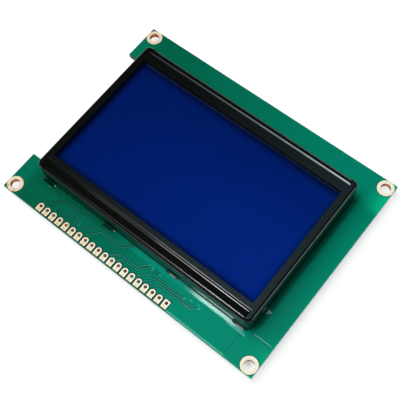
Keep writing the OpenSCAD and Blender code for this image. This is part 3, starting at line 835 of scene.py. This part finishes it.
def back_routes():
    """Tracks on the back: fans and rows from the epoxy drops, stubs from the header and the leads, and the
    chain of resistors."""
    routes, vias = [], []
    for name in GLOBS[1:]:
        glob, radius = middle(name), span(name).x / 2 - DROP_LAP
        for i in range(FAN_COUNT):
            turned = math.radians(FAN_START - FAN_SWEEP * i / (FAN_COUNT - 1))
            start = (glob.x + radius * math.cos(turned), glob.y + radius * math.sin(turned))
            end_x = glob.x + (i - (FAN_COUNT - 1) / 2) * FAN_PITCH
            end_y = FAN_VIA_Y + VIA_STAGGER * (i % 2)
            knee_y = min(end_y - KNEE_END, start[1] + KNEE_RISE + abs(end_x - start[0]))
            routes.append([start, (end_x, knee_y), (end_x, end_y)])
            vias.append((end_x, end_y))
    glob, radius = middle(GLOBS[0]), span(GLOBS[0]).x / 2 - DROP_LAP
    for side in (-1, 1):
        for i in range(ROW_COUNT):
            y = glob.y + (i - (ROW_COUNT - 1) / 2) * ROW_PITCH
            start_x = math.sqrt(radius ** 2 - (y - glob.y) ** 2)
            end_x = ROW_VIA_X - VIA_STAGGER * (i % 2)
            routes.append([(side * start_x, y), (side * end_x, y)])
            vias.append((side * end_x, y))
    for i, pin in enumerate(PINS):
        end_y = STUB_ENDS[i % 2]
        routes.append([(pin.x, pin.y), (pin.x, end_y)])
        vias.append((pin.x, end_y))
    chips = chip_places("chip_resistors")
    for chip, onward in zip(chips, chips[1:]):
        routes.append([(chip.x + CHIP_L / 2, chip.y), (onward.x - CHIP_L / 2, onward.y)])
    for i, (toe, side) in enumerate(lead_toes()):
        end_y = toe.y + side * LEAD_VIAS[i // 2 % 2]
        routes.append([toe, (toe.x, end_y)])
        vias.append((toe.x, end_y))
    return routes, vias


def chip_places(node):
    """Middles of the chip parts in a row."""
    count, chip_l, axis = CHIP_ROWS[node]
    low, high = box(node)
    first, last = low[axis] + chip_l / 2, high[axis] - chip_l / 2
    places = [middle(node) for _ in range(count)]
    for i, place in enumerate(places):
        place[axis] = first + (last - first) * i / (count - 1)
    return places


def lead_toes():
    """Toes of the moulded circuits' leads, each with the side along Y that it points to."""
    toes = []
    for node, count in CIRCUITS:
        low, high = box(node)
        for i in range(count):
            x = low.x + LEAD_W / 2 + (high.x - low.x - LEAD_W) * i / (count - 1)
            toes += [(Vector((x, low.y)), -1), (Vector((x, high.y)), 1)]
    return toes


def lay_copper(side, routes, vias, behind=False):
    """Tracks and covered vias on one face of the board, each track between two gaps in the copper."""
    looks = bpy.context.scene.board_looks
    half = looks.track_w / MM / 2
    tracks, gaps = bmesh.new(), bmesh.new()
    for route in routes:
        sweep(tracks, track_section(half, looks.track_t / MM), route, BOARD_HIGH.z)
        sweep(gaps, track_section(half + looks.track_gap / MM, OPENING_T), route, BOARD_HIGH.z)
    for x, y in vias:
        turn(tracks, VIA_PROFILE, x, y, BOARD_HIGH.z)
    if behind:
        turn_over(tracks, tracks.verts)
        turn_over(gaps, gaps.verts)
    add_piece(side + "_tracks", tracks, track_finish())
    add_piece(side + "_track_gaps", gaps, gap_finish("masked_gap", looks.mask_gap))


# Stage: each lamp as its place and size, in metres

FLOOR_HALF = 3.0
FILL_LAMP = ((-0.35, 0.03, 0.94), (0.9, 0.54))
KEY_LAMP = ((-0.168, -0.14, 0.97), (0.078, 0.2))
FRONT_LAMP = ((-0.205, -0.455, 0.87), (0.19, 0.1))
FRONT_LEFT_LAMP = ((-0.36, -0.44, 0.82), (0.12, 0.1))
SIDE_LAMP = ((0.93, 0.3, 0.09), (0.36, 0.14))
UNDER_LAMP = ((0.1, -0.15, -1.0), (0.5, 0.5))
BACK_LAMPS = 10
BACK_FIRST = Vector((-0.08, 0.94, 0.32))
BACK_PITCH = Vector((0.045, 0.0, 0.0))
BACK_H = 0.12
ROOM_DARK = 0.015
ROOM_EDGE = (-0.3, 0.1)

# Where shade and light are painted on the floor under the board, in millimetres

UNDER_FADE = (-7.0, -1.0)
UNDER_SHADE = 0.05
NOTCH_D = 4.5
NOTCH_Y = 0.5
NOTCH_HALF = 22.3
NOTCH_FALL = 3.0
PIN_ROW_END = (1.5, 3.0)
PIN_ROW_SHIFT = 1.1
PIN_ROW_HALF = (0.9, 1.6)
SLOT_SEEN = (-37.7, -24.7)
SLOT_PITCH = 24.1
SLOT_LEFT_TO_RIGHT = (-4.0, 4.0)
LIT_START = 1.9
LIT_SHIFT = 2.7
LIT_RISE = (-0.3, 0.3)
LIT_FALL = (2.0, 2.7)
LIT_HALF = (1.2, 1.8)
LIT_LEFT = 0.7
LIT_RIGHT = 0.28


def open_floor(paint, x, y):
    """1 on the floor round the board and in its notch, and 0 under the board and behind its pin row, where
    shade is painted.
    """
    from_edge = (abs(x) - BOARD_HIGH.x).most(abs(y) - BOARD_HIGH.y)
    notch = (NOTCH_D - BOARD_HIGH.x - x).least(NOTCH_HALF - abs(y - NOTCH_Y))
    unshaded = paint.step(from_edge.most(NOTCH_FALL * notch), *UNDER_FADE)
    row = (PINS[0] + PINS[-1]) / 2
    past_row = paint.step(abs(x - row.x) - (PINS[0].x - row.x), *PIN_ROW_END)
    beside_row = paint.step(abs(y - row.y - PIN_ROW_SHIFT), *PIN_ROW_HALF)
    return unshaded * past_row.most(beside_row)


def painted_slot_light(paint, x, y):
    """Painted light on the floor under the tab slots, at the end of each where light falls in."""
    right = paint.step(x, *SLOT_LEFT_TO_RIGHT)
    along = paint.in_row(x, SLOT_SEEN[0], SLOT_PITCH) - (LIT_START - LIT_SHIFT * right)
    lit = paint.step(along, *LIT_RISE) * (1 - paint.step(along, *LIT_FALL))
    return lit * paint.close(y, SLOT_SEEN[1], *LIT_HALF) * (LIT_LEFT - (LIT_LEFT - LIT_RIGHT) * right)


def floor_finish(looks):
    """Pale paint that shows white round the board by itself, keeps the shadow, has painted shade under the
    board and painted light under the tab slots, and is clear from below.
    """
    paint = Finish("floor_paint")
    x, y, _ = paint.split(paint.place())
    unshaded = open_floor(paint, x, y)
    rays = paint.node("LightPath").socket.node.outputs
    seen = Value(paint, rays["Is Camera Ray"]) + looks.sheen * Value(paint, rays["Is Glossy Ray"])
    seen = (seen + Value(paint, rays["Is Transmission Ray"])).least(1.0)
    # Painted shade: the floor's colour is darkened under the board and behind its pin row
    tint = paint.mix(unshaded, shaded(looks.floor, UNDER_SHADE), looks.floor)
    diffuse = paint.node("BsdfDiffuse", sockets={"Color": tint})
    # The white glow is left out where shade is painted, and painted light glows under the tab slots
    white = paint.mix(unshaded.most(painted_slot_light(paint, x, y)) * seen, BLACK, WHITE)
    glow = paint.node("Emission", sockets={"Color": white, "Strength": looks.glow})
    both = paint.node("AddShader", sockets={0: diffuse, 1: glow})
    clear = paint.node("BsdfTransparent")
    below = paint.node("NewGeometry", output="Backfacing")
    shown = paint.node("MixShader", sockets={0: below, 1: both, 2: clear})
    paint.node("OutputMaterial", sockets={"Surface": shown})
    return paint.material


def add_floor(looks):
    """A wide pale floor under the module."""
    bm = bmesh.new()
    bmesh.ops.create_grid(bm, x_segments=1, y_segments=1, size=FLOOR_HALF)
    mesh = bpy.data.meshes.new("floor")
    bm.to_mesh(mesh)
    bm.free()
    mesh.materials.append(floor_finish(looks))
    floor = bpy.data.objects.new("floor", mesh)
    bpy.context.scene.collection.objects.link(floor)
    floor.visible_shadow = False


def add_lamp(name, place, size, watts, tint=WHITE):
    """A flat soft lamp that points at the module, with its first side along X."""
    lamp = bpy.data.lights.new(name, "AREA")
    lamp.shape = "RECTANGLE"
    lamp.size, lamp.size_y = size
    lamp.energy = watts
    lamp.color = tint
    holder = bpy.data.objects.new(name, lamp)
    back = Vector(place).normalized()
    up = back.cross(Vector((1, 0, 0))).normalized()
    turned = Matrix((up.cross(back), up, back)).transposed()
    holder.matrix_world = Matrix.Translation(place) @ turned.to_4x4()
    bpy.context.scene.collection.objects.link(holder)
    return holder


def add_lamps(looks):
    """All lamps: overhead, in front, in a row behind that fades to the left, low on the right and below."""
    add_lamp("fill", *FILL_LAMP, looks.fill).visible_glossy = False
    add_lamp("key", *KEY_LAMP, looks.key, looks.key_tint)
    add_lamp("front", *FRONT_LAMP, looks.front)
    add_lamp("front_left", *FRONT_LEFT_LAMP, looks.front_left * looks.front)
    for i in range(BACK_LAMPS):
        place = BACK_FIRST - i * BACK_PITCH
        width = BACK_PITCH.x * place.yz.length / place.length
        add_lamp(f"back_{i}", place, (width, BACK_H), looks.back * looks.back_fade ** i, looks.back_tint)
    add_lamp("side", *SIDE_LAMP, looks.side, looks.back_tint)
    add_lamp("under", *UNDER_LAMP, looks.under)


def add_world(scene, looks):
    """A room that glows on the camera's side and is dark behind the module, and looks white itself."""
    world = bpy.data.worlds.new("studio")
    sky = Tree(world)
    far = sky.split(sky.node("TexCoord", output="Generated"))[1]
    dark, lit = shaded(WHITE, ROOM_DARK), shaded(WHITE, ROOM_DARK + looks.room)
    room = sky.mix(sky.step(far, *ROOM_EDGE), lit, dark)
    seen = sky.node("LightPath", output="Is Camera Ray")
    light = sky.node("Background", sockets={"Color": sky.mix(seen, room, WHITE)})
    sky.node("OutputWorld", sockets={"Surface": light})
    scene.world = world


def add_camera(scene, looks):
    """The camera, placed by its angles about the middle of the board's face."""
    around, rise = looks.azimuth, looks.elevation
    flat = math.cos(rise)
    back = Vector((math.sin(around) * flat, -math.cos(around) * flat, math.sin(rise)))
    level = Vector((math.cos(around), math.sin(around), 0))
    right = Matrix.Rotation(looks.roll, 3, back) @ level
    up = back.cross(right)
    target = Vector((0, 0, BOARD_HIGH.z * MM))
    lens = bpy.data.cameras.new("camera")
    lens.lens = looks.lens
    lens.sensor_width = looks.sensor
    camera = bpy.data.objects.new("camera", lens)
    place = target + looks.aside * right - looks.below * up + looks.distance * back
    camera.matrix_world = Matrix.Translation(place) @ Matrix((right, up, back)).transposed().to_4x4()
    scene.collection.objects.link(camera)
    scene.camera = camera


# Operators

class DISPLAYMODULE_OT_board(bpy.types.Operator):
    """Finish the board and its plated lands"""

    bl_idname = "displaymodule.board"
    bl_label = "Board and lands"

    def execute(self, context):
        dress(mask_finish(), "pcb")
        dress(plating_finish(), "mounting_lands", "header_lands")
        return {"FINISHED"}


class DISPLAYMODULE_OT_mask_openings(bpy.types.Operator):
    """Leave a gap of bare laminate round every land, on both faces"""

    bl_idname = "displaymodule.mask_openings"
    bl_label = "Mask openings"

    def execute(self, context):
        looks = context.scene.board_looks
        gap = looks.opening_gap / MM
        bm = bmesh.new()
        for x, y in CORNER_HOLES:
            bmesh.ops.create_circle(bm, cap_ends=True, radius=LAND_R + gap, segments=64,
                                    matrix=Matrix.Translation((x, y, BOARD_HIGH.z)))
        for index, pin in enumerate(PINS):
            outline(bm, land_outline(pin, gap, index == 0), BOARD_HIGH.z)
        inner = list(bm.faces)
        bmesh.ops.inset_individual(bm, faces=inner, thickness=gap + LAND_LAP, use_even_offset=True)
        bmesh.ops.delete(bm, geom=inner, context="FACES")
        for side in (-1, 1):
            for normal in ((side, 0, 0), (0, side, 0)):
                bmesh.ops.bisect_plane(bm, geom=[*bm.verts, *bm.edges, *bm.faces], plane_no=normal,
                                       plane_co=BOARD_HIGH if side > 0 else BOARD_LOW, clear_outer=True)
        raise_faces(bm, list(bm.faces), OPENING_T)
        behind = bmesh.ops.duplicate(bm, geom=[*bm.verts, *bm.edges, *bm.faces])
        turn_over(bm, kept(behind, bmesh.types.BMVert))
        add_piece("mask_openings", bm, gap_finish("bare_laminate", looks.opening))
        return {"FINISHED"}


class DISPLAYMODULE_OT_tracks(bpy.types.Operator):
    """Lay the copper under the lacquer on both faces of the board"""

    bl_idname = "displaymodule.tracks"
    bl_label = "Tracks"

    def execute(self, context):
        looks = context.scene.board_looks
        lay_copper("front", FRONT_TRACKS, FRONT_VIAS)
        edge = grained_finish("pour_edge", looks.mask_edge, 0.3)
        gap = gap_finish("pour_gap", looks.mask_deep_and_shaded)
        for name, routes, half, finish in (("front_pour_edges", POUR_EDGES, POUR_HALF, edge),
                                           ("front_pour_gaps", POUR_GAPS, POUR_HALF, gap),
                                           ("front_pour_seam", POUR_SEAM, SEAM_HALF, gap)):
            bm = bmesh.new()
            for route in routes:
                sweep(bm, track_section(half, POUR_T), route, BOARD_HIGH.z)
            add_piece(name, bm, finish)
        lay_copper("back", *back_routes(), behind=True)
        return {"FINISHED"}


class DISPLAYMODULE_OT_print(bpy.types.Operator):
    """Print the white marks: an arrow on the front and a ring round each epoxy drop on the back"""

    bl_idname = "displaymodule.print_marks"
    bl_label = "Print"

    def execute(self, context):
        looks = context.scene.board_looks
        bm = bmesh.new()
        outline(bm, ARROW, BOARD_HIGH.z)
        raise_faces(bm, list(bm.faces), PRINT_T)
        add_piece("front_print", bm, grained_finish("legend_ink", looks.print_white, 0.6))
        bm = bmesh.new()
        for name in GLOBS:
            glob, inner = middle(name), span(name).x / 2 + RING_GAP
            profile = ((inner, 0), (inner + RING_W, 0), (inner + RING_W, PRINT_T), (inner, PRINT_T))
            turn(bm, profile, glob.x, glob.y, BOARD_HIGH.z, closed=True, segments=96)
        turn_over(bm, bm.verts)
        add_piece("back_print", bm, bpy.data.materials["legend_ink"])
        return {"FINISHED"}


class DISPLAYMODULE_OT_bezel(bpy.types.Operator):
    """Paint the folded bezel"""

    bl_idname = "displaymodule.bezel"
    bl_label = "Bezel"

    def execute(self, context):
        dress(bezel_finish(), "bezel")
        return {"FINISHED"}


class DISPLAYMODULE_OT_display(bpy.types.Operator):
    """Finish the films, the glasses and the blue field between them"""

    bl_idname = "displaymodule.display"
    bl_label = "Display cell"

    def execute(self, context):
        parts = context.scene.part_looks
        dress(film_finish(), "front_polarizer")
        dress(glass_finish(), "front_glass", "rear_glass")
        dress(field_finish(), "liquid_crystal")
        dress(grained_finish("seal_glue", parts.seal, 0.5), "cell_seal")
        dress(grained_finish("grey_film", parts.rear_film, 0.25, size=2.0, shade=0.9, depth=0.001),
              "rear_polarizer")
        return {"FINISHED"}


class DISPLAYMODULE_OT_backlight(bpy.types.Operator):
    """Finish the backlight and the rubber connector strips"""

    bl_idname = "displaymodule.backlight"
    bl_label = "Backlight"

    def execute(self, context):
        parts = context.scene.part_looks
        rubber = banded_finish("zebra_rubber", parts.rubber, parts.rubber_band, axis=0, pitch=0.18, part=0.5,
                               roughness=0.6)
        dress(rubber, "near_zebra_strip", "far_zebra_strip")
        dress(grained_finish("white_film", parts.white_film, 0.5, size=0.15, shade=0.95),
              "diffuser_sheet", "reflector_sheet")
        dress(grained_finish("guide_acrylic", parts.guide, 0.12, size=0.8, shade=0.92, depth=0.01),
              "light_guide")
        dress(grained_finish("frame_plastic", parts.tray, 0.45, shade=0.94), "backlight_frame")
        dress(grained_finish("lamp_laminate", parts.lamp_board, 0.4, shade=0.9), "led_board")
        dress(grained_finish("lamp_phosphor", parts.phosphor, 0.4, shade=1.1), "leds")
        return {"FINISHED"}


class DISPLAYMODULE_OT_back_parts(bpy.types.Operator):
    """Finish the epoxy drops, the moulded circuits and the chip parts on the back"""

    bl_idname = "displaymodule.back_parts"
    bl_label = "Parts on the back"

    def execute(self, context):
        parts = context.scene.part_looks
        dress(grained_finish("black_epoxy", parts.epoxy, 0.32, size=1.2, shade=1.5, depth=0.02), *GLOBS)
        dress(grained_finish("moulding_compound", parts.moulding, 0.5, size=0.15, shade=1.3, depth=0.01),
              "bias_amplifier", "voltage_converter")
        dress(chip_finish("resistor_ceramic", "chip_resistors", parts.resistor, 0.3), "chip_resistors")
        dress(chip_finish("capacitor_ceramic", "chip_capacitors", parts.capacitor, 0.35), "chip_capacitors")
        dress(chip_finish("tantalum_yellow", "charge_capacitors", parts.tank, 0.4, parts.tank_band),
              "charge_capacitors")
        return {"FINISHED"}


class DISPLAYMODULE_OT_solder(bpy.types.Operator):
    """Solder the leads, the chip parts and the lamp pins to the back of the board"""

    bl_idname = "displaymodule.solder"
    bl_label = "Solder"

    def execute(self, context):
        looks = context.scene.board_looks
        tin = grained_finish("tin_solder", looks.solder, 0.3, size=0.5, shade=0.85, depth=0.012,
                             sockets={"Metallic": 0.9})
        dress(tin, "lead_solder", "led_leads", "amplifier_leads", "converter_leads")
        pads, fillets = bmesh.new(), bmesh.new()
        for toe, side in lead_toes():
            outer = toe + Vector((0, side * PAD_TOE))
            inner = outer - Vector((0, side * PAD_L))
            sweep(pads, track_section(PAD_HALF, PAD_T), [outer, inner], BOARD_HIGH.z)
            fillet(fillets, toe, Vector((0, side)), LEAD_W, PAD_TOE, LEAD_T)
        for node, (_, chip_l, axis) in CHIP_ROWS.items():
            size = span(node)
            for place in chip_places(node):
                for side in (-1, 1):
                    outward = Vector((0, 0, 0))
                    outward[axis] = side
                    fillet(fillets, place + outward * chip_l / 2, outward, size[1 - axis], FILLET_REACH,
                           FILLET_RISE * size.z)
        for name, bm in (("circuit_pads", pads), ("solder_fillets", fillets)):
            turn_over(bm, bm.verts)
            add_piece(name, bm, tin)
        return {"FINISHED"}


class DISPLAYMODULE_OT_stage(bpy.types.Operator):
    """Set the floor, the lights and the camera"""

    bl_idname = "displaymodule.stage"
    bl_label = "Stage"

    def execute(self, context):
        looks = context.scene.studio_looks
        add_floor(looks)
        add_lamps(looks)
        add_world(context.scene, looks)
        add_camera(context.scene, looks)
        context.scene.view_settings.view_transform = "Standard"
        return {"FINISHED"}


# Panel and registration

class VIEW3D_PT_displaymodule(bpy.types.Panel):
    """Steps that dress the display module"""

    bl_label = "Display module"
    bl_space_type = "VIEW_3D"
    bl_region_type = "UI"
    bl_category = "Display module"

    def draw(self, context):
        for step in STEPS:
            self.layout.operator(step.bl_idname)


LOOKS = {"board_looks": BoardLooks, "bezel_looks": BezelLooks, "display_looks": DisplayLooks,
         "part_looks": PartLooks, "studio_looks": StudioLooks}
STEPS = (DISPLAYMODULE_OT_board, DISPLAYMODULE_OT_mask_openings, DISPLAYMODULE_OT_tracks,
         DISPLAYMODULE_OT_print, DISPLAYMODULE_OT_bezel, DISPLAYMODULE_OT_display,
         DISPLAYMODULE_OT_backlight, DISPLAYMODULE_OT_back_parts, DISPLAYMODULE_OT_solder,
         DISPLAYMODULE_OT_stage)


def register():
    for made in (*LOOKS.values(), *STEPS, VIEW3D_PT_displaymodule):
        bpy.utils.register_class(made)
    for name, group in LOOKS.items():
        setattr(bpy.types.Scene, name, PointerProperty(type=group))


def unregister():
    for name in LOOKS:
        delattr(bpy.types.Scene, name)
    for made in (VIEW3D_PT_displaymodule, *reversed(STEPS), *LOOKS.values()):
        bpy.utils.unregister_class(made)


def main():
    """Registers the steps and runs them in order."""
    register()
    bpy.ops.displaymodule.board()
    bpy.ops.displaymodule.mask_openings()
    bpy.ops.displaymodule.tracks()
    bpy.ops.displaymodule.print_marks()
    bpy.ops.displaymodule.bezel()
    bpy.ops.displaymodule.display()
    bpy.ops.displaymodule.backlight()
    bpy.ops.displaymodule.back_parts()
    bpy.ops.displaymodule.solder()
    bpy.ops.displaymodule.stage()


if __name__ == "__main__":
    main()
